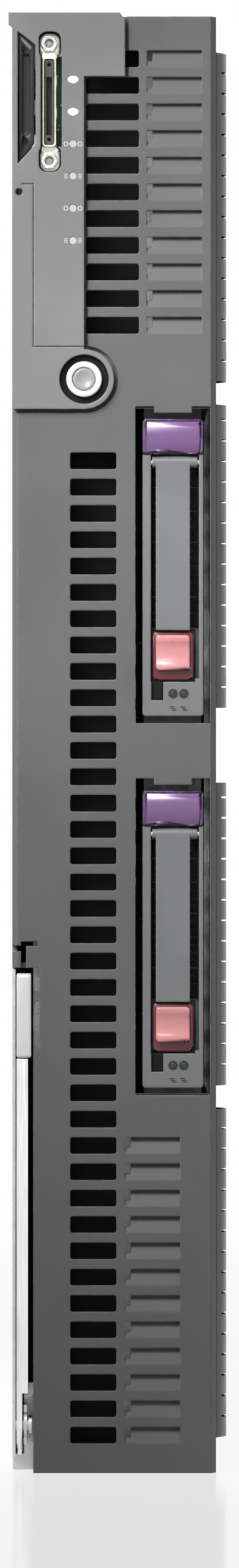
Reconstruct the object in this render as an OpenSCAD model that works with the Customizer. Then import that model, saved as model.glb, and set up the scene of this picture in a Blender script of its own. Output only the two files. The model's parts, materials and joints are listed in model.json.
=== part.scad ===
// Full-height blade server with two hot-plug drives, a release lever and a system board.
// Millimetres. +Z is up, the front faces -Y, and the origin is the middle of the bottom face.

/* [Enclosure] */
// Height, from the face it stands on to its top
body_h = 367; // [364:0.5:370]
// Width over the control panel's ear and the spring strips
body_w = 55; // [54.5:0.5:57]
// Depth from the control panel's face to the rear connectors
body_d = 515; // [510:1:530]
// Thickness of the chassis sheet
sheet_t = 0.8; // [0.6:0.1:1]
// How far the spring strips stand out beside the cover
strip_bow = 2.8; // [2.4:0.1:3.2]
// Length of the plain chassis at each end of the row of strips
strip_end = 8; // [7:0.5:10]
// Length of the plain chassis between the two middle strips
strip_middle = 19; // [16:0.5:22]
// Clearance between sheet parts that slide on each other
sheet_gap = 0.3; // [0.2:0.05:0.4]

/* [Bezel] */
// Depth of the moulded bezel, front face to rim
bezel_depth = 14; // [13.5:0.5:15]
// Thickness of the bezel's front wall
bezel_wall = 2.4; // [2.2:0.1:2.8]
// Thickness of the bezel's skirt
skirt_t = 1.2; // [1:0.1:1.3]
// Width of the bevel along the bezel's long edges
bezel_bevel = 1.3; // [0.8:0.1:1.6]
// Depth of that bevel
bevel_depth = 2.6; // [1.2:0.1:2.8]
// Distance from the floor to the lowest vent
vent_floor = 7.4; // [6.6:0.1:8]
// Spacing of the vents
vent_pitch = 6.62; // [6.5:0.02:6.64]
// Height of each vent
vent_h = 4.2; // [3.6:0.1:4.3]
// Corner radius of the vents and the blind pockets
vent_r = 0.6; // [0.4:0.1:0.9]
// Width of the main vents
vent_w = 11.6; // [10:0.2:12]
// Middle of the main vents, from the server's middle
vent_x = -6.2; // [-7:0.1:-6]
// Number of upper vents and of the blind pockets beside them
top_vent_count = 11; // [9:1:11]
// Width of the upper vents
top_vent_w = 13.4; // [12:0.2:14]
// Middle of the upper vents, from the server's middle
top_vent_x = -1.4; // [-1.5:0.1:-0.8]
// Distance from the top to the upper vents
top_vent_drop = 9.4; // [9:0.1:11]
// Depth of the blind pockets at their upper edge
pocket_depth = 1.5; // [0.8:0.1:1.7]
// Width of the blind pockets
pocket_w = 13.8; // [12:0.2:14]
// Width of the slot at the left end of each pocket
pocket_slot = 1.4; // [1:0.1:1.8]

/* [Control panel] */
// How far the control panel stands proud of the bezel
panel_raise = 1.6; // [1.2:0.1:2]
// How far the panel's top and its ear reach past the bezel
panel_lip = 0.9; // [0.6:0.1:1.2]
// Width of the groove that sets the panel off from the bezel
panel_groove = 0.9; // [0.6:0.1:1.2]
// Width of the panel's upper band
panel_top_w = 28.4; // [26:0.2:30]
// Height of the panel's upper band
panel_top_h = 16; // [15:0.5:16]
// Width of the panel's long band
panel_w = 18.1; // [17.8:0.1:18.2]
// Distance from the top to the power button's centre
power_drop = 92.1; // [91:0.1:94]
// Radius of the round lobe about the power button
lobe_r = 7.5; // [7.2:0.1:8]
// Radius of the power button's cap
power_r = 2.85; // [2.6:0.05:3]
// Radius of the bright ring about the button
ring_r = 4.5; // [4.2:0.1:4.8]
// Radius of the well that the ring stands in
well_r = 6.2; // [5.8:0.1:6.3]
// Travel of the power button
power_travel = 1.2; // [0.8:0.1:1.4]
// Radial running clearance of pins and buttons
run_gap = 0.08; // [0.05:0.01:0.1]
// Radius of the status lights
light_r = 0.95; // [0.8:0.05:1.1]
// Spacing of the status lights
light_pitch = 8.1; // [7.8:0.1:8.2]
// Spacing of the two jack screws
jack_pitch = 29.5; // [29:0.1:30]
// Radius of the thread in each jack screw
jack_hole_r = 1.1; // [1:0.05:1.25]

/* [Release lever] */
// Width of the lever's arm
lever_w = 2.9; // [2.6:0.1:3]
// Width of the tip block
lever_tip_w = 3.7; // [3.4:0.1:3.9]
// Height of the seam between arm and tip
lever_seam_z = 104.4; // [100:0.2:106]
// Height of the tip's upper end
lever_top_z = 125.6; // [124:0.2:126]
// Height of the lever's pivot
lever_pivot_z = 12; // [11.5:0.1:12.5]
// Radius of the pivot pin
lever_pin_r = 1.5; // [1.3:0.05:1.6]
// Length of the channel that the lever lies in, from the floor
channel_top_z = 127; // [126.6:0.2:128]

/* [Drives] */
// Width of a drive's front
drive_w = 15.3; // [15:0.1:15.5]
// Height of a drive's front
drive_h = 74.7; // [74:0.1:75.2]
// Depth of a drive with its carrier
drive_d = 107; // [104:0.5:110]
// Gap at each side of a drive in its bay
bay_gap_x = 1.8; // [1.4:0.1:1.8]
// Gap below a drive in its bay
bay_gap_low = 1.8; // [1.5:0.1:2]
// Gap above a drive in its bay
bay_gap_top = 3.1; // [2.6:0.1:3.4]
// Width of the bezel's rib between the two bays
bay_rib = 13.9; // [12:0.1:15]
// Distance from the top to the upper bay
bay_drop = 98.9; // [98:0.1:100]
// How far a drive's front lies behind the bezel's face
drive_set = 1.4; // [1:0.1:2]

/* [Boards] */
// Thickness of the system board
board_t = 1.6; // [1.4:0.1:2]
// Length of the board's standoffs
standoff_h = 5.2; // [4.8:0.1:5.6]
// Width and length of a heatsink
heatsink_w = 80; // [74:1:82]
// Height of the heatsink's fins
fin_h = 21; // [16:0.5:24]
// Thickness of a heatsink fin
fin_t = 0.9; // [0.6:0.1:1.2]
// Number of fins on a heatsink
fin_count = 24; // [18:1:26]
// Spacing of the memory modules
module_pitch = 9.2; // [8.6:0.1:9.6]
// Number of memory modules in a bank
module_count = 4; // [2:1:4]
// Length of a memory module
module_l = 133.3; // [131:0.1:134]
// Height of a memory module
module_h = 30; // [28:0.5:31]
// Radius of the guide sockets' bores
guide_r = 3.6; // [3.2:0.1:4]
// Depth of the guide sockets' bores
guide_l = 14; // [12:0.5:16]

/* [Hidden] */
$fn = 48;
eps = 0.01;
cut = 1;

x_left = panel_lip - body_w / 2;
x_cover = body_w / 2 - strip_bow;
case_h = body_h - panel_lip;
y_front = -body_d / 2;
y_rear = body_d / 2;
y_face = y_front + panel_raise;
y_back = y_face + bezel_wall;
y_rim = y_face + bezel_depth;
y_plate = y_rim + sheet_t;
rear_setback = 7.5;
y_pan = y_rear - rear_setback;
x_wall = x_left + sheet_t;
x_lid = x_cover - sheet_t;
x_seat = x_lid - sheet_gap;

// The front return of the chassis, which carries the spring strips, ends here.
return_depth = 22;
y_lid = y_rim + return_depth + sheet_gap;

panel_z = body_h - power_drop;
power_x = x_left + panel_w;
panel_low = panel_z - lobe_r;
power_y = y_front + 0.6;
well_depth = 2.4;
boss_floor = 1.5;
groove_depth = 1.5;
screen_t = 0.7;
boss_gap = 0.2;

board_y = y_rim - 3.7;
front_board_t = 1.6;
light_x = x_left + 15.3;
light_top = body_h - 16.8;

jack_x = x_left + 9.3;
jack_z = body_h - 22.4;
connector_w = 5.2;
connector_h = 34.9;
connector_y = y_face + 1.6;
shell_w = 3.8;
shell_h = 22.6;

tab_x0 = x_left + skirt_t + 0.2;
tab_x1 = x_left + 5.9;
tab_z0 = body_h - 38;
tab_z1 = body_h - 4.7;
tab_gap = 0.35;

lever_gap = 0.3;
lever_x = x_left + sheet_t + lever_gap;
lever_y = y_face - 0.9;
lever_pivot_y = y_face + 5.4;
foot_t = 1.5;
foot_r = 6.2;
channel_x = x_left + 5.3;
channel_step = 1.6;
tongue_z = 4;
channel_wall = 1.3;

hem = 1.9;
latch_y = y_lid + 51;
latch_z = 58;
latch_w = 14;
latch_h = 26;

bay_w = drive_w + 2 * bay_gap_x;
bay_h = drive_h + bay_gap_low + bay_gap_top;
bay_x = x_cover - 1.4 - bay_w / 2;
bay_floor = body_h - bay_drop - 2 * bay_h - bay_rib;
drive_y = y_face + drive_set;
front_depth = 11.5;
hinge_set = 1.9;
hinge_drop = 10.8;
hinge_r = 0.75;
barrel_r = 1.5;
drive_x0 = bay_x - drive_w / 2;
drive_x1 = bay_x + drive_w / 2;
eject_lever_w = 8.6;
backplane_y = drive_y + drive_d + 5;
cage_t = 0.8;

x_board = x_wall + standoff_h;
x_top = x_board + board_t;
board_y0 = y_plate + 3;
board_y1 = y_rear - 22;
board_z0 = 5;
board_z1 = case_h - 5;
card_x = x_top + 14;
card_l = 68;
card_h = 96;
card_y0 = y_pan - 87;
sink_z0 = 64;
bank_z0 = 14;
socket_h = 9.4;
socket_w = 6.6;
socket_l = module_l + 8;
slot_w = 1.5;
module_t = 1.27;
// Middle of each row of memory, front and rear, and of the heatsinks beside it.
rear_row = card_y0 - 2.4 - socket_l / 2;
row_y = [rear_row - socket_l - 4.7, rear_row];
sink_y = [max(row_y[0], backplane_y + 11 + heatsink_w / 2), row_y[1]];
lga_w = 56;
lga_h = 4;
chip_w = 45;
chip_h = 5;
sink_base = 4;
connector_rise = 12;
signal_z = [67, body_h - 67];
power_z = body_h / 2;
screw_r = 1.25;
standoff_r = 2.8;

function bay_z(k) = bay_floor + (k == 1 ? bay_h + bay_rib : 0);
function drive_z(k) = bay_z(k) + bay_gap_low;
// Vents are counted from the lowest, and upper vents from the highest.
vent_count = floor((panel_low - 5 - vent_floor) / vent_pitch);
low_pocket_count = floor((bay_floor - 3 - vent_floor) / vent_pitch);
function vent_z(i) = vent_floor + vent_h / 2 + i * vent_pitch;
function top_vent_z(i) = body_h - top_vent_drop - vent_h / 2 - i * (vent_pitch + 0.08);

// A block between two opposite corners.
module block(low, high) {
    translate(low) cube(high - low);
}

// An outline drawn in X and Z, made t thick behind the plane at y.
module facing(y, t) {
    translate([0, y + t, 0]) rotate([90, 0, 0]) linear_extrude(t) children();
}

// An outline drawn in Y and Z, made t thick to the right of the plane at x.
module sideways(x, t) {
    translate([x, 0, 0]) rotate([90, 0, 90]) linear_extrude(t) children();
}

// A round bar along Y from y0 to y1.
module rod_y(x, z, r, y0, y1) {
    translate([x, y1, z]) rotate([90, 0, 0]) cylinder(r = r, h = y1 - y0);
}

// A round bar along X from x0 to x1.
module rod_x(y, z, r, x0, x1) {
    translate([x0, y, z]) rotate([0, 90, 0]) cylinder(r = r, h = x1 - x0);
}

// A round bar along Z from z0 to z1.
module rod_z(x, y, r, z0, z1) {
    translate([x, y, z0]) cylinder(r = r, h = z1 - z0);
}

// A rectangle between two corners.
module pane(low, high) {
    translate(low) square(high - low);
}

// A rectangle with round corners about its middle.
module rounded(w, h, r) {
    square([w - 2 * r, h], center = true);
    square([w, h - 2 * r], center = true);
    for (x = [-1, 1], z = [-1, 1])
        translate([x * (w / 2 - r), z * (h / 2 - r)]) circle(r);
}

// ---- Bezel and control panel ----

module main_vents() {
    for (i = [0 : vent_count - 1])
        translate([vent_x, vent_z(i)]) rounded(vent_w, vent_h, vent_r);
}

module top_vents() {
    for (i = [0 : top_vent_count - 1])
        translate([top_vent_x, top_vent_z(i)]) rounded(top_vent_w, vent_h, vent_r);
}

// A blind pocket with its left end at x: it slopes out to the face at its foot.
module pocket(x, z) {
    top = z + vent_h / 2;
    foot = z - vent_h / 2;
    sideways(x, pocket_w) polygon([
        [y_face - cut, top], [y_face + pocket_depth, top], [y_face, foot], [y_face - cut, foot]
    ]);
    facing(y_face - cut, bezel_wall + 2 * cut) pane([x, z - 0.6], [x + pocket_slot, top]);
}

module pockets() {
    for (i = [0 : top_vent_count - 1])
        pocket(x_cover - 17.4, top_vent_z(i));
    for (i = [0 : low_pocket_count - 1])
        pocket(x_cover - 22.9, vent_z(i));
}

// The lever's channel, seen from the front, grown by g at its sides. It is open at the foot.
module channel(g) {
    right = channel_x + g;
    polygon([
        [x_left - cut, -cut], [right, -cut],
        [right, lever_seam_z - 2], [right + channel_step, lever_seam_z + 1],
        [right + channel_step, channel_top_z + g], [x_left - cut, channel_top_z + g]
    ]);
}

// Slots that free the flexible catch above the lever's tip.
module catch_slots() {
    x = x_left + 2.2;
    pane([x, channel_top_z - eps], [x + 1.3, channel_top_z + 5.6]);
    pane([x_left - cut, channel_top_z + 4.2], [x + 1.3, channel_top_z + 5.6]);
    pane([x, channel_top_z + 5.5], [x + 4.2, channel_top_z + 6.6]);
}

// A drive bay's window, with the small tab in the middle of its upper edge.
module bay_window(k) {
    tab_w = bay_w / 2;
    difference() {
        pane([bay_x - bay_w / 2, bay_z(k)], [bay_x + bay_w / 2, bay_z(k) + bay_h]);
        pane([bay_x - tab_w / 2, bay_z(k) + bay_h - 1.6], [bay_x + tab_w / 2, bay_z(k) + bay_h + cut]);
    }
}

// The bezel's outside in X and Y, with a steep bevel along both long edges.
module bezel_section() {
    polygon([
        [x_left, y_rim], [x_left, y_face + bevel_depth], [x_left + bezel_bevel, y_face],
        [x_cover - bezel_bevel, y_face], [x_cover, y_face + bevel_depth], [x_cover, y_rim]
    ]);
}

function screw_spots() = [
    [x_left + 9, panel_low - 17], [x_left + 9, channel_top_z + 18], [x_cover - 10, body_h - 88],
    [x_cover - 6, bay_floor - 8], [x_cover - 5.2, 8], [x_cover - 5.2, case_h - 4]
];

// The openings behind the control panel.
module panel_window() {
    pane([x_left + skirt_t, panel_z + well_r + 0.4], [light_x + 2.1, case_h - 2]);
    translate([power_x, panel_z]) circle(well_r + 0.6);
}

module bezel() {
    color("dimgray") difference() {
        union() {
            difference() {
                linear_extrude(case_h) bezel_section();
                block([x_left + skirt_t, y_back, skirt_t],
                    [x_cover - skirt_t, y_rim + cut, case_h - skirt_t]);
            }
            intersection() {
                facing(y_face, bezel_depth) channel(channel_wall);
                linear_extrude(case_h) bezel_section();
            }
            for (p = screw_spots())
                rod_y(p[0], p[1], 2.6, y_back - eps, y_rim);
            for (k = [1, 2], z = [bay_z(k) - channel_wall, bay_z(k) + bay_h])
                block([bay_x - bay_w / 2, y_back - eps, z], [x_cover, y_rim - 4, z + channel_wall]);
        }
        facing(y_face - cut, bezel_depth + 2 * cut) channel(0);
        facing(y_face - cut, bezel_wall + cut + eps) {
            main_vents();
            top_vents();
            panel_window();
            catch_slots();
        }
        facing(y_face - cut, cut + groove_depth) difference() {
            panel_outline(panel_groove);
            panel_outline(0);
        }
        for (k = [1, 2])
            facing(y_face - cut, bezel_wall + cut + eps) bay_window(k);
        pockets();
        for (p = screw_spots())
            rod_y(p[0], p[1], screw_r, y_back + 2, y_rim + cut);
    }
}

// Black woven screen on the front plate, behind the vents, drawn as one closed sheet.
module dust_screen() {
    color("black") facing(y_rim - screen_t, screen_t) {
        pane([vent_x - vent_w / 2 - 1.5, vent_floor - 2],
            [vent_x + vent_w / 2 + 1.5, vent_z(vent_count - 1) + vent_h]);
        pane([power_x - 0.2, vent_z(vent_count - 1)],
            [vent_x + vent_w / 2 + 1.5, top_vent_z(top_vent_count - 1)]);
        pane([power_x - 0.2, top_vent_z(top_vent_count - 1) - vent_h],
            [top_vent_x + top_vent_w / 2 + 1.5, top_vent_z(0) + vent_h]);
    }
}

module bezel_screws() {
    color("silver") for (p = screw_spots()) {
        rod_y(p[0], p[1], screw_r - 0.05, y_back + 4, y_plate + eps);
        difference() {
            rod_y(p[0], p[1], 2.5, y_plate, y_plate + 1.8);
            facing(y_plate + 0.8, 2) translate(p) square([2.8, 0.7], center = true);
            facing(y_plate + 0.8, 2) translate(p) square([0.7, 2.8], center = true);
        }
    }
}

// The panel's outline, grown by g: upper band, long band and the lobe about the button.
module panel_outline(g) {
    right = x_left + panel_top_w + g;
    polygon([
        [x_left, body_h - panel_top_h - g], [right, body_h - panel_top_h - g],
        [right, body_h - 1.7], [right - 1.4, body_h + g], [x_left - panel_lip, body_h + g],
        [x_left - panel_lip, body_h - 3], [x_left, body_h - 3.6]
    ]);
    pane([x_left, panel_low - g], [power_x + g, body_h - panel_top_h + eps]);
    translate([power_x, panel_z]) circle(lobe_r + g);
}

module light_spots() {
    for (i = [0 : 5])
        translate([light_x, light_top - i * light_pitch]) children();
}

// The label tab's slot, with slanting ends, shrunk by g all round.
module tab_slot(g) {
    polygon([
        [tab_x0 + g, tab_z0 + 1.6 * g], [tab_x1 - g, tab_z0 + 5 + 0.6 * g],
        [tab_x1 - g, tab_z1 - 3.4 - 0.6 * g], [tab_x0 + g, tab_z1 - 1.4 * g]
    ]);
}

// The front connector's face: a narrow body between two round-cornered pads.
module connector_outline(g) {
    square([shell_w + 2 * g, connector_h - 8], center = true);
    for (s = [-1, 1])
        translate([0.2, s * (connector_h / 2 - 3.2)])
            rounded(connector_w + 2 * g, 6.4 + 2 * g, 2);
}

module control_panel() {
    color("gray") difference() {
        union() {
            facing(y_front, panel_raise) panel_outline(0);
            rod_y(power_x, panel_z, well_r + 0.6 - boss_gap, y_face - eps, y_front + well_depth + boss_floor);
            for (p = [[light_x, light_top - 6 * light_pitch], [jack_x + 2, jack_z - 24]])
                rod_y(p[0], p[1], 1.8, y_face - eps, board_y);
        }
        rod_y(power_x, panel_z, well_r, y_front - cut, y_front + well_depth);
        rod_y(power_x, panel_z, power_r + run_gap, y_front, y_rim);
        facing(y_front - cut, panel_raise + 2 * cut) {
            tab_slot(0);
            translate([jack_x, jack_z]) connector_outline(0.2);
            // dark strip beside the connector
            pane([jack_x, jack_z - shell_h / 2], [jack_x + shell_w / 2 + 1.3, jack_z + shell_h / 2]);
            light_spots() circle(light_r);
            translate([x_left + 1.7, tab_z0 - 7]) circle(0.9);
        }
        // shallow joint line about the lower field
        facing(y_front - cut, cut + 0.3) {
            pane([x_left + 5.2, panel_z + 8], [x_left + 5.5, tab_z0 - 5]);
            pane([x_left + 5.2, panel_z + 8], [power_x + cut, panel_z + 8.3]);
            pane([x_left + 2.3, tab_z0 - 5.3], [x_left + 5.5, tab_z0 - 4.9]);
        }
    }
}

module power_button() {
    color("lightgray") {
        difference() {
            rod_y(power_x, panel_z, power_r, power_y, y_front + well_depth + boss_floor + sheet_gap + eps);
            translate([power_x, power_y - 5.6, panel_z]) sphere(r = 6);
        }
        rod_y(power_x, panel_z, power_r + 0.8, y_front + well_depth + boss_floor + sheet_gap,
            y_front + well_depth + boss_floor + 1.1);
        rod_y(power_x, panel_z, 1.2, y_front + well_depth + boss_floor + 1, board_y - power_travel - 1.8);
    }
}

module power_ring() {
    color("white") difference() {
        rod_y(power_x, panel_z, ring_r, y_front + 0.3, y_front + well_depth);
        rod_y(power_x, panel_z, power_r + run_gap, y_front, y_rim);
    }
}

module power_switch() {
    color("black") {
        block([power_x - 3, board_y - 1.2, panel_z - 3], [power_x + 3, board_y, panel_z + 3]);
        rod_y(power_x, panel_z, 1.1, board_y - 1.4, board_y - 1.1);
    }
}

module front_board() {
    color("darkgreen") difference() {
        facing(board_y, front_board_t) polygon([
            [jack_x - 2.6, body_h - 4], [light_x + 2.2, body_h - 4], [light_x + 2.2, panel_z + 9],
            [power_x + 4, panel_z + 9], [power_x + 4, panel_z - 7], [jack_x - 2.6, panel_z - 7]
        ]);
        for (p = [[light_x, light_top - 6 * light_pitch], [jack_x + 2, jack_z - 24]])
            rod_y(p[0], p[1], 0.9, board_y - cut, y_rim);
    }
}

module light_pipes() {
    color("white") for (i = [0 : 5])
        rod_y(light_x, light_top - i * light_pitch, light_r - 0.05, y_front + 0.05, board_y);
}

// ---- Front connector and label tab ----

module connector_shell() {
    color("wheat") difference() {
        union() {
            facing(connector_y, 1.2) translate([jack_x, jack_z]) connector_outline(0);
            facing(connector_y - 1.4, board_y - connector_y + 1.4) translate([jack_x, jack_z])
                rounded(shell_w - 0.2, shell_h, 0.9);
        }
        facing(connector_y - 2.4, 7.4) translate([jack_x, jack_z])
            rounded(shell_w - 1.2, shell_h - 1, 0.6);
        for (z = [-1, 1])
            rod_y(jack_x, jack_z + z * jack_pitch / 2, 1.6, y_front, y_rim);
    }
}

module connector_insert() {
    color("dimgray") difference() {
        facing(connector_y - 0.9, 5.9) translate([jack_x, jack_z])
            rounded(shell_w - 1.3, shell_h - 1.1, 0.55);
        facing(connector_y - 2, 4) translate([jack_x, jack_z - 1])
            square([1.3, shell_h - 8], center = true);
        for (z = [-1, 1])
            rod_y(jack_x, jack_z + z * (shell_h / 2 - 1.9), 0.45, connector_y - 2, connector_y + 1);
    }
}

module jack_screws() {
    color("silver") for (z = [-1, 1]) difference() {
        union() {
            translate([jack_x, connector_y, jack_z + z * jack_pitch / 2]) rotate([90, 0, 0])
                cylinder(r = 2.3, h = 1, $fn = 6);
            rod_y(jack_x, jack_z + z * jack_pitch / 2, 1.55, connector_y - eps, board_y - 0.6);
        }
        rod_y(jack_x, jack_z + z * jack_pitch / 2, jack_hole_r, y_front - cut, connector_y + 6);
    }
}

// The pull-out tab that carries the server's blank label.
module label_tab() {
    mid_x = (tab_x0 + tab_x1) / 2;
    mid_z = (tab_z0 + tab_z1) / 2 + 0.8;
    color("black") {
        difference() {
            facing(y_front + 1.3, 2.6) tab_slot(tab_gap);
            facing(y_front - cut, cut + 2.4) translate([mid_x - 0.2, mid_z])
                rounded(1.9, tab_z1 - tab_z0 - 13, 0.7);
        }
        block([mid_x - 0.7, y_front + 3.8, mid_z - 12], [mid_x + 0.7, y_front + 76, mid_z + 12]);
    }
}

// ---- Release lever ----

module lever_side() {
    arm_back = lever_y + 6;
    difference() {
        union() {
            polygon([
                [lever_y, lever_pivot_z - 1], [lever_pivot_y + foot_r, lever_pivot_z],
                [arm_back, lever_pivot_z + 24], [arm_back - 1, lever_seam_z - 0.2],
                [lever_y, lever_seam_z - 0.2]
            ]);
            translate([lever_pivot_y, lever_pivot_z]) circle(foot_r);
        }
        translate([lever_pivot_y, lever_pivot_z]) circle(lever_pin_r + run_gap);
        polygon([
            [lever_y + 2.4, lever_pivot_z + 14], [arm_back - 2, lever_pivot_z + 26],
            [arm_back - 2.4, lever_seam_z - 12], [lever_y + 2.4, lever_seam_z - 8]
        ]);
    }
}

module lever_arm() {
    color("gainsboro") difference() {
        union() {
            sideways(lever_x, lever_w) lever_side();
            // a hooked toe that draws the server into its slot
            sideways(lever_x, foot_t) difference() {
                translate([lever_pivot_y, lever_pivot_z]) circle(foot_r + 1.6);
                translate([lever_pivot_y - 3, lever_pivot_z + 3]) circle(foot_r + 2.2);
                pane([lever_y - 9, lever_pivot_z - 20], [lever_pivot_y + 0.6, lever_pivot_z + 20]);
            }
            sideways(lever_x + 0.4, lever_w - 0.8)
                pane([lever_y + 1.2, lever_seam_z - 1], [lever_y + 4, lever_seam_z + 6]);
        }
        // the foot is thinner, to pass beside the bracket's ear
        block([lever_x + foot_t, lever_y - 20, -cut], [lever_x + lever_w + cut, y_rim, lever_pivot_z + 8]);
    }
}

module lever_tip() {
    tip_y = lever_y - 0.1;
    color("white") difference() {
        sideways(lever_x, lever_tip_w) union() {
            pane([tip_y, lever_seam_z], [tip_y + 5.4, lever_top_z - 1.2]);
            pane([tip_y + 1.2, lever_top_z - 1.3], [tip_y + 4.2, lever_top_z]);
            translate([tip_y + 1.2, lever_top_z - 1.2]) circle(1.2);
            translate([tip_y + 4.2, lever_top_z - 1.2]) circle(1.2);
        }
        sideways(lever_x + 0.35, lever_w - 0.7)
            pane([lever_y + 1.15, lever_seam_z - cut], [lever_y + 4.05, lever_seam_z + 6.1]);
    }
}

module lever_pin() {
    color("silver") {
        rod_x(lever_pivot_y, lever_pivot_z, lever_pin_r, x_wall, channel_x - 1);
        rod_x(lever_pivot_y, lever_pivot_z, lever_pin_r + 0.9, channel_x - 1.2, channel_x - 0.4);
    }
}

module lever_bracket() {
    ear_x = lever_x + foot_t + lever_gap;
    color("gray") difference() {
        union() {
            sideways(ear_x, sheet_t) {
                pane([lever_pivot_y - 2.4, lever_pivot_z - 5], [y_rim, lever_pivot_z + 5]);
                translate([lever_pivot_y, lever_pivot_z]) circle(4);
            }
            block([ear_x, y_rim - sheet_t, lever_pivot_z - 5], [channel_x - 0.4, y_rim, lever_pivot_z + 7]);
        }
        rod_x(lever_pivot_y, lever_pivot_z, lever_pin_r, x_left, channel_x);
    }
}

// ---- Chassis ----

// Openings in the steel front plate, behind the bezel.
module plate_windows() {
    pane([vent_x - vent_w / 2 - 0.6, vent_floor - 1],
        [vent_x + vent_w / 2 + 0.6, vent_z(vent_count - 1) + vent_h]);
    pane([power_x + 5, top_vent_z(top_vent_count - 1) - vent_h],
        [top_vent_x + top_vent_w / 2 + 0.6, top_vent_z(0) + vent_h]);
    for (k = [1, 2])
        pane([bay_x - bay_w / 2, bay_z(k)], [bay_x + bay_w / 2, bay_z(k) + bay_h]);
    pane([tab_x0 - 0.1, tab_z0 + 1], [tab_x1, tab_z1 - 1]);
}

module chassis_pan() {
    flange = 7;
    color("silver") difference() {
        union() {
            block([x_left, y_rim, 0], [x_wall, y_pan, case_h]);
            block([x_left, y_rim, 0], [x_lid - sheet_gap, y_pan, sheet_t]);
            block([x_left, y_rim, case_h - sheet_t], [x_lid - sheet_gap, y_pan, case_h]);
            for (z = [0, case_h - flange])
                block([x_seat - sheet_t, y_rim, z], [x_seat, y_pan, z + flange]);
            block([x_lid, y_rim, 0], [x_cover, y_lid - sheet_gap, case_h]);
            block([x_seat - sheet_t, y_rim, 0], [x_lid + eps, y_lid - sheet_gap - 6, sheet_t]);
            block([x_seat - sheet_t, y_rim, case_h - sheet_t], [x_lid + eps, y_lid - sheet_gap - 6, case_h]);
            // tongue beside the lever's channel
            block([x_left, y_face + 2.6, tongue_z], [x_wall, y_rim + eps, channel_top_z - 0.4]);
            facing(y_rim, sheet_t) difference() {
                pane([x_left, 0], [x_cover, case_h]);
                plate_windows();
                for (p = screw_spots())
                    translate(p) circle(screw_r + 0.2);
            }
        }
        // hook of the release lever swings through here
        block([x_wall - 0.2, y_rim - cut, lever_pivot_z - 8],
            [lever_x + foot_t + lever_gap, y_plate + cut, lever_pivot_z + 8]);
        rod_x(lever_pivot_y, lever_pivot_z, 0.8, x_left - cut, x_wall + eps);
        // latch holes along the edges that the cover hooks under
        for (y = [-150 : 90 : 210], z = [0, case_h - sheet_t])
            block([x_seat - 5.4, y, z - cut], [x_seat - 3, y + 8, z + sheet_t + cut]);
        // drain and tooling holes in the wall
        for (y = [-190 : 95 : 190])
            rod_x(y, case_h / 2, 3, x_left - cut, x_wall + cut);
    }
}

// A bowed spring strip cut into fingers, lying on the chassis return.
module gasket_strips() {
    bow_t = 0.3;
    y0 = y_rim + 1.2;
    w = 17;
    gap = 6;
    half = case_h / 2 - strip_end - strip_middle / 2 - gap;
    inner = 0.48 * half;
    outer = half - inner;
    z0 = [strip_end, strip_end + outer + gap, (case_h + strip_middle) / 2, case_h - strip_end - outer];
    z1 = [z0[0] + outer, z0[1] + inner, z0[2] + inner, z0[3] + outer];
    r = (w * w / 4 + strip_bow * strip_bow) / (2 * strip_bow);
    color("lightsteelblue") for (i = [0 : 3]) translate([0, 0, z0[i]]) difference() {
        union() {
            linear_extrude(z1[i] - z0[i]) intersection() {
                translate([x_cover + strip_bow - r, y0 + w / 2]) difference() {
                    circle(r);
                    circle(r - bow_t);
                }
                pane([x_cover, y0], [x_cover + strip_bow + cut, y0 + w]);
            }
            block([x_cover, y0 - 0.9, 0], [x_cover + bow_t, y0 + 1.8, z1[i] - z0[i]]);
            block([x_cover, y0 + w - 1.8, 0], [x_cover + bow_t, y0 + w + 0.9, z1[i] - z0[i]]);
        }
        for (z = [5 : 5.2 : z1[i] - z0[i] - 3])
            block([x_cover + bow_t + 0.05, y0 + 2.6, z], [x_cover + strip_bow + cut, y0 + w - 2.6, z + 0.5]);
    }
}

module access_panel() {
    color("lightgray") difference() {
        union() {
            block([x_lid, y_lid, sheet_gap], [x_cover, y_pan, case_h - sheet_gap]);
            // stiffening joggle at the rear, turned inwards
            block([x_lid - hem, y_pan - sheet_t, 10], [x_lid + eps, y_pan, case_h - 10]);
            sideways(x_lid - hem, hem + eps) difference() {
                translate([latch_y, latch_z]) rounded(latch_w + 5, latch_h + 5, 3);
                translate([latch_y, latch_z]) rounded(latch_w + 3, latch_h + 3, 2);
            }
        }
        sideways(x_lid - cut, sheet_t + 2 * cut) translate([latch_y, latch_z])
            rounded(latch_w + 2 * sheet_gap, latch_h + 2 * sheet_gap, 2.3);
        // shallow finger recess, which shows where to push the cover
        for (z = [-1, 1])
            sideways(x_cover - 0.35, 1) translate([latch_y + 40, case_h / 2 + z * 40]) rounded(14, 22, 5);
    }
}

module cover_latch() {
    color("royalblue") difference() {
        union() {
            sideways(x_lid - 0.8, sheet_t + 0.6) translate([latch_y, latch_z])
                rounded(latch_w, latch_h, 2);
            sideways(x_lid - 1.8, 1) translate([latch_y, latch_z])
                rounded(latch_w + 1.4, latch_h + 1.4, 1.5);
        }
        for (i = [-2 : 2])
            block([x_cover - 0.5, latch_y - 5, latch_z + i * 3 - 0.6],
                [x_cover + cut, latch_y + 5, latch_z + i * 3 + 0.6]);
    }
}

// Vented plate beside the open strip that the rear connectors reach through.
module rear_panel() {
    x0 = x_top + connector_rise + 0.6;
    x1 = x_lid - hem - sheet_gap;
    color("silver") facing(y_pan - sheet_t, sheet_t) difference() {
        pane([x0, sheet_t], [x1, case_h - sheet_t]);
        for (i = [0 : floor((case_h - 24) / 10)])
            translate([(x0 + x1) / 2, 12 + i * 10]) rounded(x1 - x0 - 6, 6, 2);
    }
}

// ---- Drives: every piece is drawn for the bay numbered k, counted from the top ----

// The window that the ejector lever lies in.
module drive_frame_window(k) {
    pane([drive_x0 + 2.1, drive_z(k) + 9.4], [drive_x1 - 1.1, drive_z(k) + drive_h - 8.9]);
}

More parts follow.
